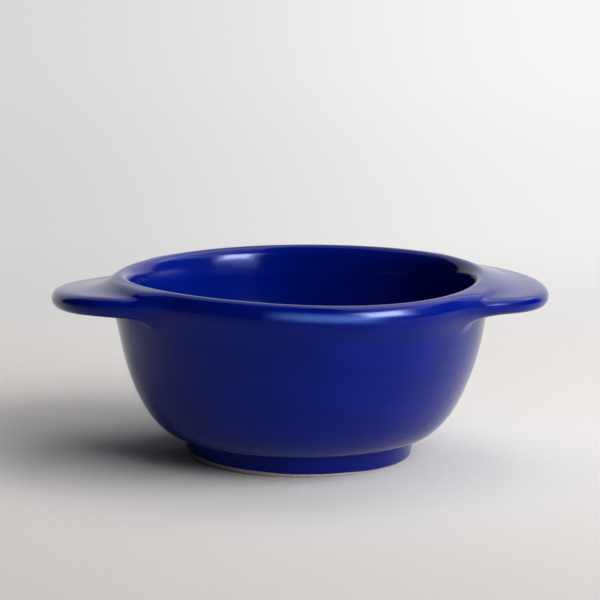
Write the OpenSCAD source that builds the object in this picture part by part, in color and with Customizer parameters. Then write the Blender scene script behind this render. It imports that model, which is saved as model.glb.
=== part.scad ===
// Lug soup bowl: a thrown stoneware bowl with a rolled rim, two flat crescent lugs and a foot ring.
// Millimetres. The origin is on the table at the middle of the foot, +Z is up and X runs along the lugs.

/* [Bowl] */
// Outer diameter of the rim
rim_d = 127; // [110:1:150]
// Height from the table to the crest of the rim
bowl_h = 61.5; // [54:0.5:72]
// Radius of the rolled bead on the rim
bead_r = 2.4; // [1.9:0.1:3]
// How far the bead stands out past the wall below it
bead_stand = 0.9; // [0.5:0.1:1.5]
// Radius of the hollow under the bead
neck_r = 3; // [2:0.5:6]
// Clay and glaze between the floor of the bowl and its underside
floor_t = 6; // [4:0.5:9]
// Radius of the level part of the floor
well_r = 30; // [22:1:34]
// Thickness of the wall at the throat, where the inside is upright
wall_t = 6.2; // [5.4:0.1:7]
// How far the throat lies below the crest of the rim
throat_drop = 10.5; // [8:0.5:14]
// Radius of the rim's inner edge
lip_edge_r = 3.4; // [2.6:0.1:3.8]

/* [Foot] */
// Outer diameter of the foot ring at the crease under the bowl
foot_d = 77.8; // [68:0.2:88]
// Height of the crease above the table
foot_h = 7.1; // [5:0.1:10]
// Width of the ring from outside to inside
foot_w = 6.5; // [4:0.5:9]
// How far the outside of the ring leans in towards the table
foot_lean = 1; // [0:0.1:2]
// Radius of the ring's lower edges
foot_edge_r = 0.8; // [0.4:0.1:1.2]
// Height of the bare clay band above the table
bare_h = 1.2; // [0.9:0.1:2]

/* [Lugs] */
// How far each lug reaches out from the rim
lug_reach = 19.5; // [12:0.5:26]
// Thickness of the lugs where they leave the wall
lug_root_t = 6.4; // [5:0.1:7.5]
// Thickness of the lugs at the tip, just behind the round edge
lug_tip_t = 5.6; // [4:0.1:6.4]
// Width of the left lug where it leaves the rim
left_lug_w = 87; // [60:1:95]
// Width of the right lug where it leaves the rim
right_lug_w = 92; // [60:1:100]
// Drop from the crest of the rim to the top of the left lug
left_lug_drop = 3.4; // [3.2:0.1:6]
// Drop from the crest of the rim to the top of the right lug
right_lug_drop = 1.9; // [1.8:0.1:6]
// How far the left lug sags from its root to its tip
left_lug_sag = 1.7; // [0:0.1:5]
// How far the right lug sags from its root to its tip
right_lug_sag = 2.2; // [0:0.1:5]
// Degrees that the left lug is set round from the middle of its side, towards the back
left_lug_turn = -3.4; // [-10:0.1:10]
// Degrees that the right lug is set round from the middle of its side, towards the back
right_lug_turn = 3.7; // [-10:0.1:10]
// Degrees that the left lug climbs from front to back
left_lug_tilt = -3.5; // [-4:0.1:4]
// Degrees that the right lug climbs from front to back
right_lug_tilt = -0.3; // [-2:0.1:2]
// Reach of the fillet over each lug
lug_top_fillet = 4; // [1:0.1:5]
// Radius of the fillet under each lug
lug_under_fillet = 5; // [2.5:0.5:6]

/* [Coats] */
// Thickness of the glaze
glaze_t = 0.4; // [0.2:0.05:0.6]
// Thickness of the slip between two joined pieces of clay
slip_t = 0.4; // [0.2:0.05:0.6]

/* [Hidden] */
$fn = 96;

clay_colour = "tan";
slip_colour = "wheat";
inside_colour = "midnightblue";
outside_colour = "darkslateblue";

// Powers of the curves that round the belly outside and the well inside
belly_side_power = 2.1;
belly_rise_power = 1.685;
well_side_power = 2.6;
well_rise_power = 1.9;
belly_steps = 40;
arc_steps = 10;
// Share of the lip's lean that comes slowly, and its power
lean_share = 0.68;
lean_power = 1.4;
lip_steps = 12;

// Centre line of the bead
bead_ring_r = rim_d / 2 - bead_r;
bead_z = bowl_h - bead_r;
// The wall under the bead, and the hollow that joins them
wall_r = rim_d / 2 - bead_stand;
neck_ring_r = wall_r + neck_r;
neck_rise = sqrt(pow(bead_r + neck_r, 2) - pow(neck_ring_r - bead_ring_r, 2));
neck_z = bead_z - neck_rise;
neck_turn = asin(neck_rise / (bead_r + neck_r));
// The foot ring, measured on its clay
crease_r = foot_d / 2;
foot_out_r = crease_r - glaze_t;
foot_in_r = crease_r - foot_w;
under_z = foot_h + glaze_t;
floor_z = under_z + floor_t;
// The throat inside, and the lip that leans out from it to the start of the rim's inner edge
lip_turn = 45;
throat_r = wall_r - wall_t;
throat_z = bowl_h - throat_drop;
lip_out = bead_ring_r - lip_edge_r * cos(lip_turn) - throat_r;
lip_up = bowl_h - lip_edge_r * (1 - sin(lip_turn)) - throat_z;
// The power at which the lip meets its round edge without a kink
turn_power = (lip_up / lip_out - lean_power * lean_share) / (1 - lean_share);

// A lug's outline fades from its full reach at the middle to a low lip at each end, by these two powers
left_lug_powers = [4.8, 2];
right_lug_powers = [3.1, 3.2];
lug_lip = 0.8;
// Share of its root's thickness that a lug fades to
lug_end_share = 0.35;
lug_steps = 32;
lug_edge_step = 15;
fillet_steps = 3;
// Share of the bead's radius above its centre that a lug's fillet may climb
climb_share = 0.35;
// Share of a lug's local reach that its fillets may take
fillet_share = 0.5;
// Share of the lug's thickness that its round edge takes at full reach
edge_share = 0.5;

// Direction of a curve of (radius, height) points at one of them, turned to point out of the wall
function out_dir(before, after) = let (d = after - before) [d[1], -d[0]] / norm(d);

// A rounded rise from (r0, z0), level, to (r1, z1), upright: turn goes from 0 to 90
function rise_point(r0, z0, r1, z1, side_power, rise_power, turn) = [
    r0 + (r1 - r0) * pow(sin(turn), 2 / side_power),
    z0 + (z1 - z0) * (1 - pow(cos(turn), 2 / rise_power))];

function belly_point(turn) =
    rise_point(crease_r, foot_h, wall_r, neck_z, belly_side_power, belly_rise_power, turn);

function well_point(turn) =
    rise_point(well_r, floor_z, throat_r, throat_z, well_side_power, well_rise_power, turn);

// The lip from the throat, at share 0, to the start of the rim's inner edge, at share 1
function lip_point(share) = [
    throat_r + lip_out * (lean_share * pow(share, lean_power) + (1 - lean_share) * pow(share, turn_power)),
    throat_z + lip_up * share];

// The same curves moved into the clay by the depth of the glaze
look_ahead = 0.01;
function inset(before, middle, after, depth) = middle - depth * out_dir(before, after);

function belly(depth) = [for (i = [0 : belly_steps]) let (turn = 90 * i / belly_steps)
    i == 0 ? [crease_r - depth, foot_h + depth]
    : i == belly_steps ? [wall_r - depth, neck_z]
    : inset(belly_point(turn - look_ahead), belly_point(turn), belly_point(turn + look_ahead), depth)];

function well(depth) = [for (i = [0 : belly_steps]) let (turn = 90 * i / belly_steps)
    i == 0 ? [well_r, floor_z - depth]
    : i == belly_steps ? [throat_r + depth, throat_z]
    : inset(well_point(turn - look_ahead), well_point(turn), well_point(turn + look_ahead), -depth)];

function arc(middle, radius, from, to, steps) = [for (i = [0 : steps])
    let (a = from + (to - from) * i / steps) middle + radius * [cos(a), sin(a)]];

function lip(depth) = [for (i = [1 : lip_steps - 1]) let (share = i / lip_steps)
    inset(lip_point(share - look_ahead), lip_point(share), lip_point(share + look_ahead), -depth)];

function lip_edge(depth) =
    arc([bead_ring_r, bowl_h - lip_edge_r], lip_edge_r - depth, 180 - lip_turn, 90, arc_steps);

function neck(depth) = arc([neck_ring_r, neck_z], neck_r + depth, 180, 180 - neck_turn, arc_steps);

function bead(depth) = arc([bead_ring_r, bead_z], bead_r - depth, -neck_turn, 90, 2 * arc_steps);

function outside(depth) = concat(belly(depth), neck(depth), bead(depth));

function inner(depth) = concat(well(depth), lip(depth), lip_edge(depth));

function reversed(list) = [for (i = [len(list) - 1 : -1 : 0]) list[i]];

// The radius of the outside of the wall at a height between the middle of the belly and the bead
function outside_r(z, depth) =
    let (bead_foot = bead_z - (bead_r - depth) * sin(neck_turn))
    z > bead_foot ? bead_ring_r + sqrt(pow(bead_r - depth, 2) - pow(z - bead_z, 2))
    : z > neck_z ? neck_ring_r - sqrt(pow(neck_r + depth, 2) - pow(z - neck_z, 2))
    : let (fall = pow((neck_z - z) / (neck_z - foot_h), belly_rise_power))
    crease_r + (wall_r - crease_r) * pow(1 - fall, 1 / belly_side_power) - depth;

module spin(points) {
    rotate_extrude() polygon(points);
}

module bowl_wall() {
    color(clay_colour) spin(concat([[0, under_z]], outside(glaze_t),
        reversed(inner(glaze_t)), [[0, floor_z - glaze_t]]));
}

module foot_ring() {
    edge_r = foot_edge_r;
    low_out = foot_out_r - foot_lean;
    color(clay_colour) spin(concat([[foot_in_r, under_z - slip_t]],
        arc([foot_in_r + edge_r, edge_r], edge_r, 180, 270, arc_steps),
        arc([low_out - edge_r, edge_r], edge_r, -90, 0, arc_steps),
        [[foot_out_r, foot_h], [foot_out_r, under_z - slip_t]]));
}

module foot_ring_slip() {
    color(slip_colour) spin([[foot_in_r, under_z - slip_t], [foot_out_r, under_z - slip_t],
        [foot_out_r, under_z], [foot_in_r, under_z]]);
}

module inside_glaze() {
    color(inside_colour) spin(concat([[0, floor_z - glaze_t], [0, floor_z]], inner(0),
        reversed(inner(glaze_t))));
}

// The coat outside, open where the two lugs are luted to the clay
module outside_glaze() {
    color(outside_colour) difference() {
        spin(concat(outside(0), reversed(outside(glaze_t))));
        loft([for (i = [0 : lug_steps]) root_loop(left_lug, i)], left_lug);
        loft([for (i = [0 : lug_steps]) root_loop(right_lug, i)], right_lug);
    }
}

module foot_glaze() {
    low_out = foot_out_r - foot_lean;
    bare_r = low_out + foot_lean * (bare_h - foot_edge_r) / (foot_h - foot_edge_r);
    color(outside_colour) spin([[bare_r, bare_h], [bare_r + glaze_t, bare_h], [crease_r, foot_h],
        [foot_out_r, under_z], [foot_out_r, foot_h]]);
}

module base_glaze() {
    color(outside_colour) spin([[0, under_z - glaze_t], [foot_in_r - glaze_t, under_z - glaze_t],
        [foot_in_r - glaze_t, bare_h], [foot_in_r, bare_h], [foot_in_r, under_z], [0, under_z]]);
}

// The two lugs: side, width at the rim, drop to the top face, sag to the tip, turn, tilt and powers
left_lug = [-1, left_lug_w, left_lug_drop, left_lug_sag, left_lug_turn, left_lug_tilt, left_lug_powers];
right_lug = [1, right_lug_w, right_lug_drop, right_lug_sag, right_lug_turn, right_lug_tilt,
    right_lug_powers];

// Angle from the lug's middle to its end, and from the middle of its side to station i of its length
function lug_half_angle(lug) = asin(lug[1] / rim_d);
function lug_angle(lug, i) = lug[4] + lug_half_angle(lug) * (2 * i / lug_steps - 1);
function lug_half_step(lug) = lug_half_angle(lug) / lug_steps;

// How far a lug stands out from the rim at station i
function lug_out(lug, i) = let (x = abs(2 * i / lug_steps - 1), powers = lug[6])
    lug_lip + (lug_reach - lug_lip) * pow(1 - pow(x, powers[0]), powers[1]);

// Share of its full swell that a lug has at station i
function lug_swell(lug, i) = sqrt(lug_out(lug, i) / lug_reach);

// How much a tilted lug climbs for each length out from the bowl's axis
function lug_climb(lug, i) = tan(lug[5]) * sin(lug_angle(lug, i)) * lug_swell(lug, i);

// Thickness of a lug where it leaves the wall, and the height of its middle there
function root_t(lug, i) = lug_root_t * (lug_end_share + (1 - lug_end_share) * lug_swell(lug, i));
function lug_z(lug, i) = bowl_h - lug[2] - root_t(lug, i) / 2 + lug_climb(lug, i) * wall_r;

function root_r(z) = outside_r(z, glaze_t) + slip_t;

// The round edge of a lug at station i, from its underside to its top, this deep under the glaze
function edge_point(lug, i, depth, turn) =
    let (out = lug_out(lug, i))
    let (flat = max(2, out / (edge_share * lug_tip_t)))
    let (along = pow(cos(turn), 1 / flat))
    let (thick = root_t(lug, i) + (lug_tip_t - root_t(lug, i)) * along * out / lug_reach)
    let (z = lug_z(lug, i) + (thick / 2 - depth) * sin(turn))
    let (start = root_r(z) - glaze_t + depth)
    let (run = (rim_d / 2 + out - depth - start) * along)
    [start + run, z + lug_climb(lug, i) * run - lug[3] * along * out / lug_reach];

function edge(lug, i, depth) = [for (turn = [lug_edge_step - 90 : lug_edge_step : 90 - lug_edge_step])
    edge_point(lug, i, depth, turn)];

// Where the lug's faces meet the slip: up is 1 for the top and -1 for the underside
function root_z(lug, i, depth, up) = lug_z(lug, i) + up * (root_t(lug, i) / 2 - depth);
function root_point(lug, i, depth, up) =
    let (z = root_z(lug, i, depth, up)) [root_r(z) - glaze_t + depth, z];

// The fillet's reach along the lug, and the height at which it meets the wall
function fillet_r(lug, i, up) =
    min(up > 0 ? lug_top_fillet : lug_under_fillet, fillet_share * lug_out(lug, i));
function wall_z(lug, i, up) = let (z = root_z(lug, i, 0, up) + up * fillet_r(lug, i, up))
    up > 0 ? max(root_z(lug, i, 0, up), min(z, bead_z + climb_share * bead_r)) : z;

// The radius at which the tangent of the wall at one height reaches another
function tangent_r(from_z, to_z, depth) =
    let (rise = outside_r(from_z + look_ahead, depth) - outside_r(from_z - look_ahead, depth))
    outside_r(from_z, depth) + (to_z - from_z) * rise / (2 * look_ahead);

// Points of the fillet from the wall to the lug's face
function fillet(lug, i, depth, up) =
    let (corner = root_point(lug, i, depth, up))
    let (next = edge_point(lug, i, depth, up * (90 - lug_edge_step)))
    let (share = min(1 - fillet_share, fillet_r(lug, i, up) / (next[0] - corner[0])))
    let (face = corner + share * (next - corner))
    let (z = wall_z(lug, i, up))
    let (wall = [outside_r(z, depth), z])
    let (tangent = min(face[0], tangent_r(z, corner[1], depth)))
    let (bend = [max(outside_r(corner[1], depth), tangent), corner[1]])
    [for (k = [0 : fillet_steps + 1]) let (t = k / (fillet_steps + 1))
        pow(1 - t, 2) * wall + 2 * t * (1 - t) * bend + t * t * face];

// The lug's whole surface at station i, from the wall below it to the wall above it
function lug_skin(lug, i, depth) = concat(fillet(lug, i, depth, -1), edge(lug, i, depth),
    reversed(fillet(lug, i, depth, 1)));

// The face of the lug's clay against its bed of slip, from its underside to its top
root_steps = 4;
function root_face(lug, i) = [for (k = [0 : root_steps])
    let (z = root_z(lug, i, glaze_t, -1) + (root_t(lug, i) - 2 * glaze_t) * k / root_steps)
    [root_r(z), z]];

// The clay wall behind the slip, from above to below, with its points close together on the bead
wall_steps = 9;
wall_power = 1.6;
function wall_face(lug, i) = let (low = wall_z(lug, i, -1), high = wall_z(lug, i, 1))
    [for (k = [1 : wall_steps - 1]) let (z = high + (low - high) * pow(k / wall_steps, wall_power))
        [outside_r(z, glaze_t), z]];

function last(list) = list[len(list) - 1];

function lug_loop(lug, i) = concat([last(fillet(lug, i, glaze_t, -1))], edge(lug, i, glaze_t),
    [last(fillet(lug, i, glaze_t, 1))], reversed(root_face(lug, i)));

function slip_loop(lug, i) = concat(fillet(lug, i, glaze_t, -1), root_face(lug, i),
    reversed(fillet(lug, i, glaze_t, 1)), wall_face(lug, i));

function coat_loop(lug, i) = concat(lug_skin(lug, i, 0), reversed(lug_skin(lug, i, glaze_t)));

// What the coat on the wall leaves open for the lug
function root_loop(lug, i) = let (low = wall_z(lug, i, -1), high = wall_z(lug, i, 1))
    [[bead_ring_r, low], [rim_d / 2 + bead_r, low], [rim_d / 2 + bead_r, high], [bead_ring_r, high]];

// A solid through a row of (radius, height) loops, one at each station along a lug
module loft(loops, lug) {
    count = len(loops[0]);
    swell = 1 / cos(lug_half_step(lug));
    points = [for (i = [0 : lug_steps]) let (a = lug_angle(lug, i)) for (p = loops[i])
        [lug[0] * swell * p[0] * cos(a), swell * p[0] * sin(a), p[1]]];
    sides = [for (i = [0 : lug_steps - 1]) for (j = [0 : count - 1])
        let (a = i * count + j, b = i * count + (j + 1) % count)
        each [[a, b, b + count], [a, b + count, a + count]]];
    caps = [[for (j = [count - 1 : -1 : 0]) j], [for (j = [0 : count - 1]) lug_steps * count + j]];
    faces = concat(sides, caps);
    polyhedron(points, lug[0] > 0 ? faces : [for (f = faces) reversed(f)]);
}

module lug_clay(lug) {
    color(clay_colour) loft([for (i = [0 : lug_steps]) lug_loop(lug, i)], lug);
}

module lug_slip(lug) {
    color(slip_colour) loft([for (i = [0 : lug_steps]) slip_loop(lug, i)], lug);
}

module lug_coat(lug) {
    color(outside_colour) loft([for (i = [0 : lug_steps]) coat_loop(lug, i)], lug);
}

module left_lug() { lug_clay(left_lug); }
module left_lug_slip() { lug_slip(left_lug); }
module left_lug_glaze() { lug_coat(left_lug); }
module right_lug() { lug_clay(right_lug); }
module right_lug_slip() { lug_slip(right_lug); }
module right_lug_glaze() { lug_coat(right_lug); }

bowl_wall();
foot_ring();
foot_ring_slip();
left_lug();
left_lug_slip();
right_lug();
right_lug_slip();
inside_glaze();
outside_glaze();
left_lug_glaze();
right_lug_glaze();
foot_glaze();
base_glaze();
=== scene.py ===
import math

import bpy
import numpy as np
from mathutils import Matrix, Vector


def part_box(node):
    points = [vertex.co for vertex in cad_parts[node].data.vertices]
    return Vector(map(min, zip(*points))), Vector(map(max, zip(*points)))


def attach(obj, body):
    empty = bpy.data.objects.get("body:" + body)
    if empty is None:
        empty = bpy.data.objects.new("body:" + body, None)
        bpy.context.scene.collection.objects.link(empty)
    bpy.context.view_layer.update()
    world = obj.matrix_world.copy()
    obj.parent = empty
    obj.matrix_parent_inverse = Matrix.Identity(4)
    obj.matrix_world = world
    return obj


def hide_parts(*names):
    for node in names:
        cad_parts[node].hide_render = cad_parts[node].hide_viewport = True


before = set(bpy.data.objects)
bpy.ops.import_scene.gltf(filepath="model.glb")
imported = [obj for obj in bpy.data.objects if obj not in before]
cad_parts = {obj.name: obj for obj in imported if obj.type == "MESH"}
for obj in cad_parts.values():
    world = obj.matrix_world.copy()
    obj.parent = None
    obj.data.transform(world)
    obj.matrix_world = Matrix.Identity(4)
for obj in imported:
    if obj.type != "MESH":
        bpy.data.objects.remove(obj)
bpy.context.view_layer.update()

# Lengths are in millimetres until a mesh is made. The studio's are in metres.
MM = 0.001


def span(node):
    """Lowest and highest corner of a solid, in millimetres."""
    low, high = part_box(node)
    return np.array(low) / MM, np.array(high) / MM


# Sizes taken from the solids
bowl_h = span("outside_glaze")[1][2]
rim_r = span("outside_glaze")[1][1]
crease_z = span("outside_glaze")[0][2]
crease_r = span("foot_glaze")[1][0]
glaze_t = span("left_lug")[0][0] - span("left_lug_glaze")[0][0]
floor_z = span("inside_glaze")[0][2] + glaze_t
under_z = span("base_glaze")[1][2]

# The rim's bead: round at its crest, flatter and fuller at its side
bead_r = 2.4
bead_ring_r = rim_r - bead_r
bead_z = bowl_h - bead_r
crest_r = 3.0
crest_z = bowl_h - crest_r
crest_step = 16.0
crest_count = 4
side_r = 8.0
side_turn = 27.0
side_turns = [23.0, 14.0, 5.0, -4.0, -12.0]

# The outside wall, a rounded rise from the crease
wall_inset = 1.1
wall_r = rim_r - wall_inset
wall_top_z = 51.7
wall_side_power = 2.14
wall_rise_power = 1.5
upper_turns = [79.6, 77.4, 75.4, 73.4, 71.2]
belly_turns = [67.5, 63.0, 58.0, 52.0, 46.0, 39.0, 32.0, 25.0, 18.0, 12.0, 7.0, 3.0]

# The hollow below the bead: how far each handle stands out from the wall, and its height
hollow = [(1.6, 53.1), (0.95, 51.5), (0.38, 50.0), (0.02, 48.6)]

# The inside: a level floor, a steep wall up to the throat, then a flared lip with a round edge
wall_t = 6.0
throat_r = wall_r - wall_t
throat_drop = 10.5
throat_z = bowl_h - throat_drop
edge_r = 3.4
edge_turn = 45.0
edge_step = 15.0
edge_count = 3
lip_r = bead_ring_r - edge_r * math.sin(math.radians(edge_turn))
lip_z = bowl_h - edge_r * (1.0 - math.cos(math.radians(edge_turn)))
lip_shares = np.array([0.15, 0.35, 0.52, 0.68, 0.81, 0.91])
lip_slow_share = 0.68
lip_slow_power = 1.4
lip_fast_power = 10
well_r = 30.0
well_side_power = 2.6
well_rise_power = 1.9
well_turns = [5.0, 10.0, 16.0, 23.0, 31.0, 40.0, 49.0, 58.0, 67.0, 75.0, 82.0, 88.0]
floor_count = 7

# The foot ring, and the slip behind the lugs, at most a share of what stands out from the wall there
foot_lean = 1.0
foot_edge_r = 0.8
foot_clay_r = crease_r - glaze_t
base_mid_share = 0.5
slip_t = 0.4
slip_most_share = 0.5

# Handles round the crease above the foot: how far out from it and up from it
crease_handles = [(0.7, 0.02), (0.15, -0.15), (-0.02, -0.7), (-0.1, -1.4)]
foot_top_drop = 1.4

# Handles down the foot: share of its height above the glaze's edge, and share of the coat's thickness
foot_coats = [(0.7, 1.0), (0.42, 1.0), (0.2, 1.0), (0.1, 0.95), (0.04, 0.7), (0.0, 0.05)]

# The glaze's lower edge: its mean height, its slopes along X and Y, and waves as (count, height, start)
line_z = 1.1
line_slope_x = -0.74
line_slope_y = -0.12
line_waves = [(5.0, 0.07, 1.0), (9.0, 0.05, 0.0), (17.0, 0.03, 2.0)]

# How far the rim wanders out of a true circle and out of its plane
shift_out = 0.65
oval_out = -0.25
three_out = -0.3
four_out = 0.83
twist_up = 0.67
oval_up = 0.15

# The grid of the skin: directions round the bowl, and steps between two handles of the profile
DIRECTIONS = 360
STEPS = 3
theta = np.radians(np.arange(DIRECTIONS) * 360.0 / DIRECTIONS)


def smooth(x, low, high):
    """0 below low, 1 above high, and a smooth rise between."""
    t = np.clip((x - low) / (high - low), 0.0, 1.0)
    return t * t * (3.0 - 2.0 * t)


def rise(r0, z0, r1, z1, side_power, rise_power, turns):
    """Points of a rounded rise from (r0, z0), level, to (r1, z1), upright."""
    a = np.radians(turns)
    r = r0 + (r1 - r0) * np.sin(a) ** (2.0 / side_power)
    z = z0 + (z1 - z0) * (1.0 - np.cos(a) ** (2.0 / rise_power))
    return np.stack([r, z], axis=-1)


def arc(centre, radius, turns):
    """Points round a centre, at turns in degrees from straight out."""
    a = np.radians(turns)
    return np.stack([centre[0] + radius * np.cos(a), centre[1] + radius * np.sin(a)], axis=-1)


def handle_r(radius, step):
    """Radius of a circle's handles, which stand outside it so that the spline runs along the circle."""
    return 3.0 * radius / (2.0 + math.cos(math.radians(step)))


def spline(points, steps):
    """A cubic B-spline along the handles points[:, k], for every direction at once."""
    first = 2.0 * points[:, :1] - points[:, 1:2]
    last = 2.0 * points[:, -1:] - points[:, -2:-1]
    p = np.concatenate([first, points, last], axis=1)
    n = p.shape[1] - 3
    t = (np.arange(steps) / steps)[None, None, :, None]
    a, b, c, d = (p[:, i:i + n, None] for i in range(4))
    curve = (1 - t) ** 3 * a + (3 * t ** 3 - 6 * t ** 2 + 4) * b
    curve = curve + (-3 * t ** 3 + 3 * t ** 2 + 3 * t + 1) * c + t ** 3 * d
    curve = curve.reshape(points.shape[0], n * steps, points.shape[2]) / 6.0
    return np.concatenate([curve, points[:, -1:]], axis=1)


def repeat(points):
    """The same handles in every direction."""
    return np.broadcast_to(np.asarray(points, float), (DIRECTIONS,) + np.shape(points)).copy()


def even_out(points, reach):
    """A mean over the directions within so many degrees, weighted to the middle."""
    turns = np.arange(-reach, reach + 1)
    weights = np.cos(np.pi * turns / (2 * reach + 2)) ** 2
    total = sum(w * np.roll(points, k, axis=0) for k, w in zip(turns, weights))
    return total / weights.sum()


# The lugs, each with its own hand-made shape. In degrees round the bowl: its middle from +X, its half
# widths, and the half width of the low skirt beside it. side_power and fade_power shape its outline and
# tilt is its slope towards the back. In millimetres: its reach past the rim, its drop below the crest
# at the root and its sag at the tip, its thickness at both, how far out the bead goes over into it,
# the skirt's reach, and the reach of its slope down from the crest and of its fillet below.
LUGS = {
    "left": dict(middle=184.7, half_front=43.5, half_back=45.9, side_power=4.75, fade_power=2.39,
                 reach=20.2, drop=3.72, sag=1.38, root_t=6.59, tip_t=6.06, tilt=-3.69,
                 blend=(2.28, 13.8), skirt=0.44, skirt_half=61.5, ramp=5.84, under=6.4),
    "right": dict(middle=2.9, half_front=44.8, half_back=48.5, side_power=3.37, fade_power=3.62,
                  reach=19.5, drop=1.64, sag=2.42, root_t=5.67, tip_t=5.1, tilt=-0.49,
                  blend=(1.61, 11.0), skirt=0.92, skirt_half=63.6, ramp=5.39, under=5.1),
}

# Handles of a lug's profile: shares of the way from the wall to its round edge, and turns of that edge
lug_top_shares = (0.45, 0.75)
lug_edge_turns = (90.0, 45.0, 0.0, -45.0, -90.0)
lug_edge_step = 45.0
lug_under_shares = (0.7, 0.45, 0.25)

# The slope from the crest down to a lug: its first handles in millimetres, the others as shares of the
# lug's ramp and drop
crest_lift = 0.1
brow_out = 1.25
brow_drop = 0.25
slope_out_share = 0.58
slope_drop_share = 0.5
saddle_drop_share = 0.92
saddle_most_share = 0.5

# Handles of the fillet below a lug: shares of its reach, out from the wall and down from the underside
fillet_shares = ((0.36, 0.12), (0.08, 0.45))
fillet_most_share = 0.5

# How far each handle of the rim follows where the bead spreads into a lug
spread = [0.0, 0.25, 0.55, 0.8, 0.95, 1.0, 1.0, 0.9, 0.7, 0.5, 0.3, 0.15, 0.05, 0.0, 0.0, 0.0, 0.0, 0.0]

# Degrees over which the change from bead to lug is evened out
change_turns = 6

# The thrown rim behind a lug, pared down: handles over its top, then down its side
pared_step = 18.0
pared_count = 6
pared_off = 0.7
pared_power = 0.6
pared_side_count = 10
pared_side_from = 1.2
pared_side_to = 9.2
pared_side_inset = 0.05
pared_side_out = 0.5
pared_side_power = 1.6


def turn_from(lug):
    """Degrees round the bowl from a lug's middle, for every direction."""
    return (np.degrees(theta) - lug["middle"] + 180.0) % 360.0 - 180.0


def lug_out(lug):
    """How far the rim stands out past its own line in every direction: the lug, and its skirt."""
    turn = np.abs(turn_from(lug))
    to_front = np.sin(theta) < np.sin(np.radians(lug["middle"]))
    half = np.where(to_front, lug["half_front"], lug["half_back"])
    x = np.clip(turn / half, 0.0, 1.0)
    core = (1.0 - x ** lug["side_power"]) ** lug["fade_power"]
    skirt = np.cos(np.radians(np.clip(turn / lug["skirt_half"], 0.0, 1.0) * 90.0)) ** 2
    return (lug["reach"] - lug["skirt"]) * core + lug["skirt"] * skirt


def drawn(lug):
    """Share of the way that the bead has gone over into the lug, in every direction."""
    return smooth(lug_out(lug), lug["blend"][0], lug["blend"][1])[:, None, None]


def inside_handles():
    """From the middle of the floor up the steep wall to the flared lip."""
    floor = [[r, floor_z] for r in np.linspace(0.0, well_r, floor_count)]
    well = rise(well_r, floor_z, throat_r, throat_z, well_side_power, well_rise_power, well_turns)
    slow = lip_slow_share * lip_shares ** lip_slow_power
    fast = (1.0 - lip_slow_share) * lip_shares ** lip_fast_power
    lip_out = throat_r + (lip_r - throat_r) * (slow + fast)
    lip_up = throat_z + (lip_z - throat_z) * lip_shares
    return repeat(np.concatenate([floor, well, np.stack([lip_out, lip_up], axis=-1)]))


def bead_inner_handles():
    """The lip's round inner edge, up to the crest."""
    turns = 90.0 + edge_turn - edge_step * np.arange(edge_count)
    return repeat(arc((bead_ring_r, bowl_h - edge_r), handle_r(edge_r, edge_step), turns))


def wall_at(turns):
    """Points of the outside wall."""
    return rise(crease_r, crease_z, wall_r, wall_top_z, wall_side_power, wall_rise_power, turns)


def rim_handles():
    """The bead's outer half, its hollow and the top of the wall, where there is no lug."""
    top_turns = 90.0 - crest_step * np.arange(crest_count)
    top = arc((bead_ring_r, crest_z), handle_r(crest_r, crest_step), top_turns)
    turn = math.radians(side_turn)
    side_ring_r = bead_ring_r - (side_r - crest_r) * math.cos(turn)
    side_ring_z = crest_z - (side_r - crest_r) * math.sin(turn)
    side = arc((side_ring_r, side_ring_z), side_r, side_turns)
    neck = [[wall_r + out, z] for out, z in hollow]
    return repeat(np.concatenate([top, side, neck, wall_at(upper_turns)]))


def lug_handles(lug):
    """The bead's outer half drawn out into a lug, with the same count of handles."""
    out = lug_out(lug)
    gone = out / lug["reach"]
    tip_half = lug["tip_t"] / 2.0
    root_half = lug["root_t"] / 2.0
    root_mid = bowl_h - lug["drop"] - root_half
    tip_r = rim_r + out - tip_half
    tip_z = root_mid - lug["sag"] * gone
    lift = math.tan(math.radians(lug["tilt"])) * np.sin(theta) * gone ** 0.5

    def point(r, z):
        """A handle of the lug, lifted where the lug is tilted."""
        r = np.broadcast_to(r, (DIRECTIONS,))
        return np.stack([r, z + lift * r], axis=-1)

    def along(share, up):
        """A handle on the top or underside, share of the way from the wall to the round edge."""
        r = wall_r + (tip_r - wall_r) * share
        half = root_half + (tip_half - root_half) * share
        return point(r, root_mid + (tip_z - root_mid) * share + up * half)

    def edge(turn):
        """A handle of the round edge."""
        a = math.radians(turn)
        out_r = handle_r(tip_half, lug_edge_step)
        return point(tip_r + out_r * math.cos(a), tip_z + out_r * math.sin(a))

    def fixed(r, z):
        """A handle that is the same in every direction."""
        return np.stack([np.full(DIRECTIONS, r), np.full(DIRECTIONS, z)], axis=-1)

    slope_r = bead_ring_r + slope_out_share * lug["ramp"]
    saddle_r = np.minimum(bead_ring_r + lug["ramp"], wall_r + saddle_most_share * (tip_r - wall_r))
    fillet = np.minimum(lug["under"], fillet_most_share * (tip_r - wall_r).clip(0.0))
    rows = [fixed(bead_ring_r, bowl_h + crest_lift)]
    rows += [fixed(bead_ring_r + brow_out, bowl_h - brow_drop)]
    rows += [point(slope_r, bowl_h - slope_drop_share * lug["drop"])]
    rows += [point(saddle_r, bowl_h - saddle_drop_share * lug["drop"])]
    rows += [along(share, 1.0) for share in lug_top_shares]
    rows += [edge(turn) for turn in lug_edge_turns]
    rows += [along(share, -1.0) for share in lug_under_shares]
    rows += [point(wall_r + outward * fillet, root_mid - root_half - down * fillet)
             for outward, down in fillet_shares]
    rows += [fixed(r, z) for r, z in wall_at(upper_turns[-2:])]
    bead = rim_handles()
    bead[..., 0] += out[:, None] * np.array(spread)
    return even_out(bead + (np.stack(rows, axis=1) - bead) * drawn(lug), change_turns)


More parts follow.
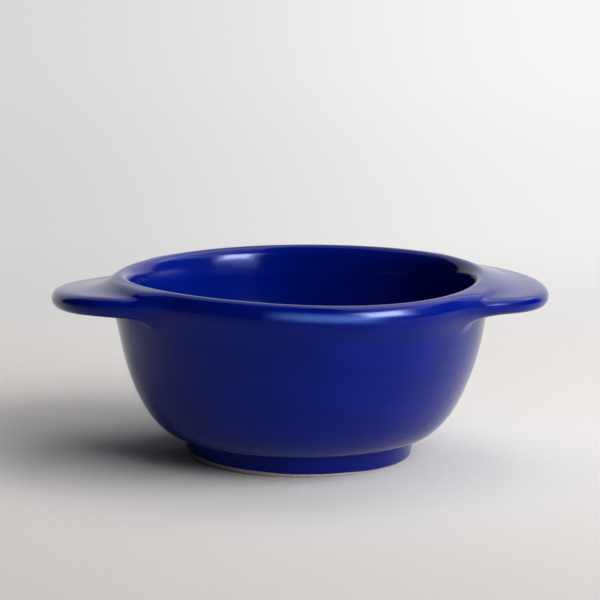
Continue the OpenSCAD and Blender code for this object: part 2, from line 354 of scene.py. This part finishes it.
def luted_handles(lug):
    """The thrown rim behind a lug, pared to a slim bead so that it stays inside the lug's clay."""
    pared_r = handle_r(bead_r, pared_step) - pared_off * np.linspace(0.0, 1.0, pared_count) ** pared_power
    top = arc((bead_ring_r, bead_z), pared_r, 90.0 - pared_step * np.arange(pared_count))
    side_z = np.linspace(bead_z - pared_side_from, bead_z - pared_side_to, pared_side_count)
    side_out = pared_side_out * np.linspace(1.0, 0.0, pared_side_count) ** pared_side_power
    side = np.stack([wall_r - pared_side_inset + side_out, side_z], axis=-1)
    slim = repeat(np.concatenate([top, side, wall_at(upper_turns[-2:])]))
    bead = rim_handles()
    return even_out(bead + (slim - bead) * drawn(lug), change_turns)


def glaze_line():
    """Height of the glaze's lower edge in every direction, where the foot was wiped."""
    wave = sum(height * np.sin(count * theta + start) for count, height, start in line_waves)
    return line_z + line_slope_x * np.cos(theta) + line_slope_y * np.sin(theta) + wave


def foot_side(z):
    """Radius of the foot ring's clay at a height."""
    low = foot_clay_r - foot_lean
    lean = low + foot_lean * (z - foot_edge_r) / (crease_z - foot_edge_r)
    turn = np.clip(foot_edge_r - z, 0.0, foot_edge_r)
    return np.where(z < foot_edge_r, low - foot_edge_r + np.sqrt(foot_edge_r ** 2 - turn ** 2), lean)


def foot_handles():
    """From the crease down the foot's coat, which thins out at the glaze line."""
    line = glaze_line()
    rows = [np.stack([np.full(DIRECTIONS, crease_r + out), np.full(DIRECTIONS, crease_z + up)], axis=-1)
            for out, up in crease_handles]
    for share, coat in foot_coats:
        z = line + (crease_z - foot_top_drop - line) * share
        rows.append(np.stack([foot_side(z) + glaze_t * coat, z], axis=-1))
    return np.stack(rows, axis=1)


def out_of_round(points):
    """The thrown bowl isn't a true circle: its rim wanders in and out and up and down."""
    height = smooth(points[..., 1], crease_z, bead_z)
    t = theta[:, None]
    radial = shift_out * np.cos(t) + oval_out * np.cos(2 * t)
    radial = radial + three_out * np.sin(3 * t) + four_out * np.sin(4 * t)
    lift = twist_up * np.sin(2 * t) + oval_up * np.cos(2 * t)
    reach = smooth(points[..., 0], 0.0, bead_ring_r - bead_r)
    return points + np.stack([radial * height * reach, lift * height * reach], axis=-1)


def profile(with_lugs):
    """Every direction's (radius, height) profile, from the middle of the floor to the glaze line."""
    rim = rim_handles()
    plain_rim = rim.copy()
    for lug in LUGS.values():
        rim = rim + (lug_handles(lug) if with_lugs else luted_handles(lug)) - plain_rim
    parts = [inside_handles(), bead_inner_handles(), rim, repeat(wall_at(belly_turns)), foot_handles()]
    counts = np.cumsum([p.shape[1] for p in parts])
    return spline(np.concatenate(parts, axis=1), STEPS), counts


def place(points):
    """(radius, height) in every direction to places in space."""
    t = theta[:, None]
    return np.stack([points[..., 0] * np.cos(t), points[..., 0] * np.sin(t), points[..., 1]], axis=-1)


def normals_of(grid):
    """The outward normal at every point of a grid."""
    around = np.roll(grid, -1, axis=0) - np.roll(grid, 1, axis=0)
    down = np.gradient(grid, axis=1)
    n = np.cross(down, around)
    n[:, 0] = (0.0, 0.0, 1.0)
    return n / np.linalg.norm(n, axis=-1, keepdims=True)


# The skin with its lugs, and the plain thrown bowl behind them
skin_rz, counts = profile(True)
plain_rz, counts = profile(False)
skin = place(out_of_round(skin_rz))
plain = place(out_of_round(plain_rz))
skin_n = normals_of(skin)
plain_n = normals_of(plain)
ROWS = skin.shape[1]

# Rows of the grid at which the coats meet
crest_row = counts[1] * STEPS
lug_top_row = (counts[1] + 2) * STEPS
lug_foot_row = (counts[2] - 1) * STEPS
crease_row = (counts[3] + 1) * STEPS

# The underside of the coat lies on the clay
foot_margin = 0.5
under = skin - glaze_t * skin_n
plain_under = plain - glaze_t * plain_n
foot_rows = skin_rz[..., 1] < crease_z - foot_margin
on_clay = place(np.stack([foot_side(skin_rz[..., 1]), skin_rz[..., 1]], axis=-1))
under[foot_rows] = on_clay[foot_rows]


def build(name, points, faces, normals=None):
    """A mesh from points in millimetres, smooth all over, with its normals if they are given."""
    mesh = bpy.data.meshes.new(name)
    mesh.from_pydata((np.asarray(points) * MM).tolist(), [], faces)
    mesh.polygons.foreach_set("use_smooth", np.ones(len(mesh.polygons), bool))
    mesh.validate()
    if normals is not None:
        mesh.normals_split_custom_set_from_vertices(np.asarray(normals).tolist())
    piece = bpy.data.objects.new(name, mesh)
    bpy.context.scene.collection.objects.link(piece)
    return piece


def cell_corners(around, down, rows):
    """The corners of cells of a grid, in order round each cell."""
    after = (around + 1) % DIRECTIONS
    return np.stack([around * rows + down, around * rows + down + 1,
                     after * rows + down + 1, after * rows + down], axis=1)


def without_repeats(faces):
    """The faces as lists, where a corner that a pole has drawn together is kept once."""
    return [list(dict.fromkeys(face)) for face in faces.tolist()]


def shell(name, top, bottom, normals, cells, pole=False):
    """A closed coat between two grids, where cells[direction, row] is set. A pole is a row of no radius."""
    rows = top.shape[1]
    offset = DIRECTIONS * rows
    corners = cell_corners(*np.nonzero(cells), rows)
    faces = [corners, corners[:, ::-1] + offset]
    edges = np.concatenate([corners[:, [i, (i + 1) % 4]] for i in range(4)])
    code = edges[:, 0].astype(np.int64) * (2 * offset) + edges[:, 1]
    back = edges[:, 1].astype(np.int64) * (2 * offset) + edges[:, 0]
    rim = edges[~np.isin(code, back)]
    if pole:
        at_pole = (rim[:, 0] % rows == 0) & (rim[:, 1] % rows == 0)
        rim = rim[~at_pole]
    faces.append(np.stack([rim[:, 1], rim[:, 0], rim[:, 0] + offset, rim[:, 1] + offset], axis=1))
    quads = np.concatenate(faces)
    if pole:
        quads = np.where(quads % rows == 0, np.where(quads < offset, 0, offset), quads)
    used, index = np.unique(quads, return_inverse=True)
    points = np.concatenate([top.reshape(-1, 3), bottom.reshape(-1, 3)])[used]
    split = np.concatenate([normals.reshape(-1, 3), -normals.reshape(-1, 3)])[used]
    return build(name, points, without_repeats(index.reshape(quads.shape)), split)


def cells_of(rows_from, rows_to, around=None):
    """The grid's cells between two rows, in every direction or in the ones that are set."""
    cells = np.zeros((DIRECTIONS, ROWS - 1), bool)
    cells[:, rows_from:rows_to] = True
    if around is not None:
        cells &= around[:, None]
    return cells


def finish_piece(piece, node):
    """Puts a piece on the bowl's one body, in the place of its solid."""
    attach(piece, "root")
    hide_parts(node)


# Where the coat of a lug ends: so many degrees past its half width
coat_past = 1.0
around_lug = {side: np.abs(turn_from(lug)) < lug["half_front"] + coat_past for side, lug in LUGS.items()}
lug_cells = {side: cells_of(lug_top_row, lug_foot_row, around_lug[side]) for side in LUGS}
outside_cells = cells_of(crest_row, crease_row) & ~lug_cells["left"] & ~lug_cells["right"]

inside_coat = shell("inside_coat", skin, under, skin_n, cells_of(0, crest_row), pole=True)
outside_coat = shell("outside_coat", skin, under, skin_n, outside_cells)
foot_coat = shell("foot_coat", skin, under, skin_n, cells_of(crease_row, ROWS - 1))
lug_coats = {side: shell(side + "_lug_coat", skin, under, skin_n, lug_cells[side]) for side in LUGS}
finish_piece(inside_coat, "inside_glaze")
finish_piece(outside_coat, "outside_glaze")
finish_piece(foot_coat, "foot_glaze")
for side, piece in lug_coats.items():
    finish_piece(piece, side + "_lug_glaze")
coats = [inside_coat, outside_coat, foot_coat] + list(lug_coats.values())

# The clay of each lug, on a bed of slip on the wall
stand_out = np.einsum("ijk,ijk->ij", under - plain_under, plain_n).clip(0.0)
bed = np.minimum(slip_t, slip_most_share * stand_out)[..., None] * plain_n
clays = []
for side in LUGS:
    clay = shell(side + "_lug_clay", under, plain_under + bed, skin_n, lug_cells[side])
    slip_bed = shell(side + "_lug_bed", plain_under + bed, plain_under, plain_n, lug_cells[side])
    finish_piece(clay, side + "_lug")
    finish_piece(slip_bed, side + "_lug_slip")
    clays += [clay, slip_bed]


def wall_solid():
    """The thrown clay wall with its floor, under the coats."""
    base = repeat([[foot_clay_r, under_z], [foot_clay_r * base_mid_share, under_z], [0.0, under_z]])
    grid = np.concatenate([plain_under[:, :crease_row], place(base)], axis=1)
    rows = grid.shape[1]
    around, down = np.meshgrid(np.arange(DIRECTIONS), np.arange(rows - 1), indexing="ij")
    quads = cell_corners(around.ravel(), down.ravel(), rows)
    quads = np.where(quads % rows == 0, 0, quads)
    quads = np.where(quads % rows == rows - 1, rows - 1, quads)
    used, index = np.unique(quads, return_inverse=True)
    return build("wall_clay", grid.reshape(-1, 3)[used], without_repeats(index.reshape(quads.shape)))


wall_clay = wall_solid()
finish_piece(wall_clay, "bowl_wall")
clays.append(wall_clay)


def srgb(r, g, b):
    """A colour written as 0 to 255 in the picture's terms, in Blender's linear terms."""
    def linear(v):
        v = v / 255.0
        return v / 12.92 if v <= 0.04045 else ((v + 0.055) / 1.055) ** 2.4
    return (linear(r), linear(g), linear(b), 1.0)


def new_group(name, inputs, outputs):
    """A node group whose inputs are (name, value) and outputs are names, all plain numbers."""
    group = bpy.data.node_groups.new(name, "ShaderNodeTree")
    for label, value in inputs:
        socket = group.interface.new_socket(label, in_out="INPUT", socket_type="NodeSocketFloat")
        socket.default_value = value
    for label in outputs:
        group.interface.new_socket(label, in_out="OUTPUT", socket_type="NodeSocketFloat")
    entry = group.nodes.new("NodeGroupInput")
    leave = group.nodes.new("NodeGroupOutput")
    return group, entry, leave


def add_node(tree, kind, inputs=(), **settings):
    """A node with its settings, and its inputs linked to other sockets or set to values."""
    node = tree.nodes.new(kind)
    for key, value in settings.items():
        setattr(node, key, value)
    for key, value in dict(inputs).items():
        if isinstance(value, bpy.types.NodeSocket):
            tree.links.new(value, node.inputs[key])
        else:
            node.inputs[key].default_value = value
    return node


def maths(tree, operation, a, b=0.0, c=0.0, clamp=False):
    """A sum of plain numbers."""
    node = add_node(tree, "ShaderNodeMath", {0: a, 1: b, 2: c}, operation=operation, use_clamp=clamp)
    return node.outputs[0]


def blend(tree, share, a, b):
    """A colour that goes from a to b as the share goes from 0 to 1."""
    node = add_node(tree, "ShaderNodeMix", data_type="RGBA")
    for index, value in ((0, share), (6, a), (7, b)):
        if isinstance(value, bpy.types.NodeSocket):
            tree.links.new(value, node.inputs[index])
        else:
            node.inputs[index].default_value = value
    return node.outputs[2]


def ramp(tree, value, low, high, to_low=0.0, to_high=1.0):
    """The value mapped smoothly from low..high to to_low..to_high."""
    node = add_node(tree, "ShaderNodeMapRange",
                    {0: value, 1: low, 2: high, 3: to_low, 4: to_high}, interpolation_type="SMOOTHSTEP")
    return node.outputs[0]


def places(tree):
    """The place on the bowl in millimetres, as a vector."""
    place_m = add_node(tree, "ShaderNodeTexCoord").outputs["Object"]
    inputs = {0: place_m, "Scale": 1.0 / MM}
    return add_node(tree, "ShaderNodeVectorMath", inputs, operation="SCALE").outputs[0]


# How the glaze varies: sizes in millimetres, and the ranges that noises and distances are mapped from
mottle_range = (0.32, 0.68)
mottle_stretch = (1.0, 1.0, 1.6)
band_drift = 5.0
drift_size = 24.0
drift_stretch = (1.0, 1.0, 0.3)
fine_bands = 3.0
fine_share = 0.3
band_range = (-1.3, 1.3)
speck_scale = 0.45
speck_edge = (0.05, 0.12)

# A painted highlight along the rim's outer shoulder, a lighter blue streak in place of the window's
# reflection: its turn from the front in radians, height, slant, half height, and how far it reaches round
# as a range of a cosine
highlight_turn = 0.13
highlight_z = 57.7
highlight_slant = 1.0
highlight_half = 1.9
highlight_reach = (0.78, 0.99)


def painted_highlight_mask(tree, x, y, z):
    """A soft painted highlight along the rim's outer shoulder, in front and another behind, in place of the
    window's reflection.
    """
    turn = maths(tree, "ARCTAN2", x, maths(tree, "MULTIPLY", y, -1.0))
    twice = maths(tree, "MULTIPLY", maths(tree, "SUBTRACT", turn, highlight_turn), 2.0)
    near = ramp(tree, maths(tree, "COSINE", twice), highlight_reach[0], highlight_reach[1])
    slant = maths(tree, "MULTIPLY", maths(tree, "SINE", twice), highlight_slant)
    fall = maths(tree, "ABSOLUTE", maths(tree, "SUBTRACT", maths(tree, "ADD", z, slant), highlight_z))
    return maths(tree, "MULTIPLY", ramp(tree, fall, 0.0, highlight_half, 1.0, 0.0), near)


def glaze_group():
    """How a fired glaze varies: mottles, throwing bands, pinhole specks and the surface's ripple, with a
    painted highlight on the rim's shoulder.
    """
    inputs = (("Mottle Size", 18.0), ("Band Pitch", 5.5), ("Speck Share", 0.02), ("Ripple Size", 9.0))
    outputs = ("Mottle", "Bands", "Specks", "Ripple", "Painted Highlight")
    tree, entry, leave = new_group("glaze_variation_and_highlight", inputs, outputs)
    place_mm = places(tree)
    x, y, z = add_node(tree, "ShaderNodeSeparateXYZ", {0: place_mm}).outputs

    def noise(size, detail, stretch=(1.0, 1.0, 1.0)):
        """A noise whose features are about so many millimetres."""
        placed = add_node(tree, "ShaderNodeVectorMath", {0: place_mm, 1: stretch}, operation="MULTIPLY")
        values = {"Vector": placed.outputs[0], "Scale": maths(tree, "DIVIDE", 1.0, size), "Detail": detail}
        return add_node(tree, "ShaderNodeTexNoise", values).outputs[0]

    mottle = noise(entry.outputs["Mottle Size"], 3.0, mottle_stretch)
    tree.links.new(ramp(tree, mottle, mottle_range[0], mottle_range[1]), leave.inputs["Mottle"])

    pitches = maths(tree, "DIVIDE", z, entry.outputs["Band Pitch"])
    climb = maths(tree, "MULTIPLY", pitches, 2.0 * math.pi)
    drift = maths(tree, "MULTIPLY", noise(drift_size, 1.0, drift_stretch), band_drift)
    phase = maths(tree, "ADD", maths(tree, "SUBTRACT", climb, maths(tree, "ARCTAN2", y, x)), drift)
    fine = maths(tree, "SINE", maths(tree, "MULTIPLY", phase, fine_bands))
    bands = maths(tree, "ADD", maths(tree, "SINE", phase), maths(tree, "MULTIPLY", fine, fine_share))
    tree.links.new(ramp(tree, bands, band_range[0], band_range[1]), leave.inputs["Bands"])

    spots = add_node(tree, "ShaderNodeTexVoronoi", {"Vector": place_mm, "Scale": speck_scale})
    near = ramp(tree, spots.outputs["Distance"], speck_edge[0], speck_edge[1], 1.0, 0.0)
    chosen = add_node(tree, "ShaderNodeSeparateColor", {0: spots.outputs["Color"]}).outputs[0]
    kept = maths(tree, "LESS_THAN", chosen, entry.outputs["Speck Share"])
    tree.links.new(maths(tree, "MULTIPLY", near, kept), leave.inputs["Specks"])

    tree.links.new(noise(entry.outputs["Ripple Size"], 2.0), leave.inputs["Ripple"])
    # The mask of the painted highlight on the rim's shoulder
    tree.links.new(painted_highlight_mask(tree, x, y, z), leave.inputs["Painted Highlight"])
    return tree


# The ranges that the clay's noise and the distance from a fleck are mapped from
grain_range = (0.3, 0.7)
fleck_edge = (0.15, 0.4)


def clay_group():
    """The grain of bare fired clay: fine sand, darker flecks, and the height of both."""
    inputs = (("Grain Size", 0.7), ("Fleck Share", 0.08))
    tree, entry, leave = new_group("clay_grain", inputs, ("Grain", "Flecks", "Height"))
    place_mm = places(tree)
    scale = maths(tree, "DIVIDE", 1.0, entry.outputs["Grain Size"])
    values = {"Vector": place_mm, "Scale": scale, "Detail": 4.0}
    grain = add_node(tree, "ShaderNodeTexNoise", values).outputs[0]
    tree.links.new(ramp(tree, grain, grain_range[0], grain_range[1]), leave.inputs["Grain"])
    cells = add_node(tree, "ShaderNodeTexVoronoi", {"Vector": place_mm, "Scale": scale})
    chosen = add_node(tree, "ShaderNodeSeparateColor", {0: cells.outputs["Color"]}).outputs[0]
    kept = maths(tree, "LESS_THAN", chosen, entry.outputs["Fleck Share"])
    near = ramp(tree, cells.outputs["Distance"], fleck_edge[0], fleck_edge[1], 1.0, 0.0)
    flecks = maths(tree, "MULTIPLY", near, kept)
    tree.links.new(flecks, leave.inputs["Flecks"])
    tree.links.new(maths(tree, "SUBTRACT", grain, flecks), leave.inputs["Height"])
    return tree


glaze_variation_and_highlight = glaze_group()
clay_grain = clay_group()


def new_material(name):
    """A material with its node tree and its shader."""
    material = bpy.data.materials.new(name)
    material.use_nodes = True
    return material, material.node_tree, material.node_tree.nodes["Principled BSDF"]


def place_group(tree, group, values):
    """The outputs of a node group that is placed in a material with its own values."""
    node = tree.nodes.new("ShaderNodeGroup")
    node.node_tree = group
    for key, value in values.items():
        node.inputs[key].default_value = value
    return node.outputs


# The glazes: how their variation shows in colour and height, the painted highlight's weight and blue, and
# how they shine
mottle_weight = 0.6
band_weight = 0.4
speck_weight = 0.7
# The weight of the painted highlight on the rim's shoulder
highlight_weight = 0.5
speck_blue = srgb(2, 4, 30)
# The painted highlight's lighter blue, in place of the window's reflection
highlight_blue = srgb(92, 128, 215)
speck_dip = 0.3
band_height = 0.12
glaze_bump = 0.12
glaze_bump_t = 0.3
glaze_rough = (0.12, 0.17)
glaze_ior = 1.42
glaze_tint = (0.3, 0.35, 0.6, 1.0)


def glaze_material(name, deep, light, highlight_amount, values):
    """A glossy glaze. Its reflection is blue head-on and white where it is grazed. One weight sets the
    painted highlight on the rim's shoulder.
    """
    material, tree, shader = new_material(name)
    look = place_group(tree, glaze_variation_and_highlight, values)
    share = maths(tree, "ADD", maths(tree, "MULTIPLY", look["Mottle"], mottle_weight),
                  maths(tree, "MULTIPLY", look["Bands"], band_weight))
    colour = blend(tree, share, deep, light)
    colour = blend(tree, maths(tree, "MULTIPLY", look["Specks"], speck_weight), colour, speck_blue)
    # Painted highlight: a lighter blue streak on the rim's shoulder
    colour = blend(tree, maths(tree, "MULTIPLY", look["Painted Highlight"], highlight_amount), colour, highlight_blue)
    tree.links.new(colour, shader.inputs["Base Color"])
    rough = ramp(tree, look["Mottle"], 0.0, 1.0, glaze_rough[0], glaze_rough[1])
    tree.links.new(rough, shader.inputs["Roughness"])
    height = maths(tree, "SUBTRACT", look["Ripple"], maths(tree, "MULTIPLY", look["Specks"], speck_dip))
    height = maths(tree, "ADD", height, maths(tree, "MULTIPLY", look["Bands"], band_height))
    relief = {"Height": height, "Strength": glaze_bump, "Distance": glaze_bump_t * MM}
    tree.links.new(add_node(tree, "ShaderNodeBump", relief).outputs[0], shader.inputs["Normal"])
    shader.inputs["IOR"].default_value = glaze_ior
    shader.inputs["Specular Tint"].default_value = glaze_tint
    return material


# The bare clays
clay_rough = (0.74, 0.9)
clay_bump = 0.35
clay_bump_t = 0.15


def clay_material(name, pale, dark, fleck, values):
    """Bare clay, dull and sandy."""
    material, tree, shader = new_material(name)
    look = place_group(tree, clay_grain, values)
    colour = blend(tree, look["Grain"], dark, pale)
    colour = blend(tree, look["Flecks"], colour, fleck)
    tree.links.new(colour, shader.inputs["Base Color"])
    rough = ramp(tree, look["Grain"], 0.0, 1.0, clay_rough[0], clay_rough[1])
    tree.links.new(rough, shader.inputs["Roughness"])
    relief = {"Height": look["Height"], "Strength": clay_bump, "Distance": clay_bump_t * MM}
    tree.links.new(add_node(tree, "ShaderNodeBump", relief).outputs[0], shader.inputs["Normal"])
    return material


cobalt = glaze_material("cobalt_glaze", srgb(0, 15, 104), srgb(2, 20, 116), highlight_weight,
                        {"Mottle Size": 16.0, "Band Pitch": 5.5, "Speck Share": 0.02, "Ripple Size": 7.0})
liner = glaze_material("liner_glaze", srgb(0, 16, 102), srgb(2, 21, 116), 0.0,
                       {"Mottle Size": 22.0, "Band Pitch": 6.5, "Speck Share": 0.02, "Ripple Size": 9.0})
stoneware = clay_material("stoneware", srgb(182, 168, 166), srgb(160, 146, 146), srgb(110, 92, 88),
                          {"Grain Size": 0.7, "Fleck Share": 0.1})
slip = clay_material("slip", srgb(190, 178, 172), srgb(172, 158, 152), srgb(130, 112, 104),
                     {"Grain Size": 0.45, "Fleck Share": 0.05})
for piece in coats:
    piece.data.materials.append(liner if piece is inside_coat else cobalt)
for piece in clays:
    piece.data.materials.append(slip if piece.name.endswith("_bed") else stoneware)
for node, material in (("foot_ring", stoneware), ("foot_ring_slip", slip), ("base_glaze", cobalt)):
    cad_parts[node].data.materials.clear()
    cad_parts[node].data.materials.append(material)

# Camera: its gap from the middle of the rim in millimetres, its rise and roll in degrees, and in pixels
# the lens and where the middle of the rim lies in the picture
camera_gap = 900.0
camera_rise = 9.672
roll = 0.51
focal_px = 2682.0
photo_px = 600.0
rim_px = (300.46, 279.62)
sensor_w = 36.0


def add_camera():
    """The camera from which the photograph was taken, as fitted to it."""
    data = bpy.data.cameras.new("camera")
    camera = bpy.data.objects.new("camera", data)
    bpy.context.scene.collection.objects.link(camera)
    data.sensor_width = sensor_w
    data.lens = data.sensor_width * focal_px / photo_px
    e = math.radians(camera_rise)
    camera.location = (0.0, -camera_gap * math.cos(e) * MM, (bead_z + camera_gap * math.sin(e)) * MM)
    down = e + math.atan((photo_px / 2.0 - rim_px[1]) / focal_px)
    camera.rotation_mode = "ZYX"
    camera.rotation_euler = (math.radians(90.0) - down, 0.0, math.radians(roll))
    turned_px = (photo_px / 2.0 - rim_px[1]) * math.sin(math.radians(roll))
    data.shift_x = (photo_px / 2.0 - rim_px[0] + turned_px) / photo_px
    data.clip_start = 0.01
    data.clip_end = 100.0
    bpy.context.scene.camera = camera


add_camera()

# Table that sweeps up behind the bowl, in metres, from its front edge to the top of the sweep
table_front = -1.2
table_half = 2.2
sweep_start = 1.3
sweep_r = 0.7
sweep_top = 2.2
sweep_count = 25

# The paper on it: its tones, where it goes over to painted shade at the front and to an even glow far
# behind
paper_pale = srgb(216, 213, 211)
paper_dark = srgb(212, 209, 207)
paper_rough = 0.9
paper_gloss = 0.2
# Painted shade: a darker tone towards the front of the table
front_painted_shade = srgb(190, 187, 185)
front_near = 0.05
front_far = -0.22
glow_near = 0.12
glow_far = 0.5

# The glow's tones, from left to right as the camera sees it and from near to far
near_left = srgb(212, 212, 212)
near_right = srgb(240, 240, 240)
far_left = srgb(217, 217, 217)
far_right = srgb(248, 248, 248)
across_range = (-0.13, 0.12)
depth_range = (0.4, 1.6)


def sweep_material():
    """Pale paper with painted shade towards its front, which glows evenly far behind the bowl and is
    brighter on the right.
    """
    material, tree, shader = new_material("paper")
    look = place_group(tree, clay_grain, {"Grain Size": 2.5, "Fleck Share": 0.0})
    place_m = add_node(tree, "ShaderNodeTexCoord").outputs["Object"]
    x, y, z = add_node(tree, "ShaderNodeSeparateXYZ", {0: place_m}).outputs
    colour = blend(tree, look["Grain"], paper_dark, paper_pale)
    # Painted shade towards the front of the table
    colour = blend(tree, ramp(tree, y, front_far, front_near), front_painted_shade, colour)
    tree.links.new(colour, shader.inputs["Base Color"])
    shader.inputs["Roughness"].default_value = paper_rough
    shader.inputs["Specular IOR Level"].default_value = paper_gloss
    aside = maths(tree, "DIVIDE", x, maths(tree, "ADD", y, camera_gap * MM))
    across = ramp(tree, aside, across_range[0], across_range[1])
    deep = ramp(tree, y, depth_range[0], depth_range[1])
    left = blend(tree, deep, near_left, far_left)
    right = blend(tree, deep, near_right, far_right)
    light = add_node(tree, "ShaderNodeEmission", {"Color": blend(tree, across, left, right)})
    far = ramp(tree, y, glow_near, glow_far)
    rays = tree.nodes.new("ShaderNodeLightPath").outputs
    seen = maths(tree, "ADD", rays["Is Camera Ray"], rays["Is Glossy Ray"], clamp=True)
    seen = maths(tree, "ADD", seen, rays["Is Transmission Ray"], clamp=True)
    mix = add_node(tree, "ShaderNodeMixShader", {0: maths(tree, "MULTIPLY", far, seen)})
    tree.links.new(shader.outputs[0], mix.inputs[1])
    tree.links.new(light.outputs[0], mix.inputs[2])
    tree.links.new(mix.outputs[0], tree.nodes["Material Output"].inputs["Surface"])
    return material


def add_table():
    """One smooth sheet: the table, its round sweep and the upright back."""
    turns = np.radians(np.linspace(0.0, 90.0, sweep_count))
    side = [(table_front, 0.0)]
    side += [(sweep_start + sweep_r * math.sin(a), sweep_r * (1.0 - math.cos(a))) for a in turns]
    side.append((sweep_start + sweep_r, sweep_top))
    points = [(x, y, z) for y, z in side for x in (-table_half, table_half)]
    faces = [(2 * i, 2 * i + 1, 2 * i + 3, 2 * i + 2) for i in range(len(side) - 1)]
    mesh = bpy.data.meshes.new("table")
    mesh.from_pydata(points, [], faces)
    mesh.polygons.foreach_set("use_smooth", [True] * len(faces))
    mesh.materials.append(sweep_material())
    table = bpy.data.objects.new("table", mesh)
    bpy.context.scene.collection.objects.link(table)


add_table()

# The lamps face the bowl's middle. Azimuth is in degrees from the camera towards +X, and elevation up
# from the middle. Gap and size are in metres, and a radiance of 1 looks white. A lamp lights matt
# surfaces and shines in glossy ones unless it says otherwise.
middle = (0.0, 0.0, 0.04)
LAMPS = (
    dict(name="window", azimuth=51.0, elevation=28.0, gap=1.2, size=(0.48, 0.36), radiance=32.0,
         lights=False),
    dict(name="window_frame", azimuth=51.0, elevation=28.0, gap=1.22, size=(0.7, 0.52), radiance=13.0,
         lights=False),
    dict(name="window_edge", azimuth=51.0, elevation=27.0, gap=1.24, size=(0.95, 0.72), radiance=4.0,
         lights=False),
    dict(name="key_lamp", azimuth=57.0, elevation=29.0, gap=1.25, size=(1.3, 1.0), radiance=5.7,
         shines=False),
    dict(name="side_lamp", azimuth=110.0, elevation=57.0, gap=1.3, size=(1.6, 1.2), radiance=1.85),
    dict(name="top_lamp", azimuth=180.0, elevation=68.0, gap=1.4, size=(1.8, 0.8), radiance=0.85),
)


def add_softbox(name, azimuth, elevation, gap, size, radiance, lights=True, shines=True):
    """A soft lamp of even brightness."""
    data = bpy.data.lights.new(name, "AREA")
    data.shape = "RECTANGLE"
    data.size, data.size_y = size
    data.energy = radiance * math.pi * size[0] * size[1]
    lamp = bpy.data.objects.new(name, data)
    bpy.context.scene.collection.objects.link(lamp)
    a, e = math.radians(azimuth), math.radians(elevation)
    away = Vector((math.cos(e) * math.sin(a), -math.cos(e) * math.cos(a), math.sin(e)))
    lamp.location = Vector(middle) + gap * away
    lamp.rotation_euler = (-away).to_track_quat("-Z", "Y").to_euler()
    lamp.visible_camera = False
    lamp.visible_diffuse = lights
    lamp.visible_glossy = shines


for values in LAMPS:
    add_softbox(**values)

# The room's own dim light
room_glow = 0.015
world = bpy.data.worlds.new("studio")
bpy.context.scene.world = world
world.use_nodes = True
room = world.node_tree.nodes["Background"]
room.inputs["Color"].default_value = (1.0, 1.0, 1.0, 1.0)
room.inputs["Strength"].default_value = room_glow

bpy.context.scene.view_settings.view_transform = "Standard"
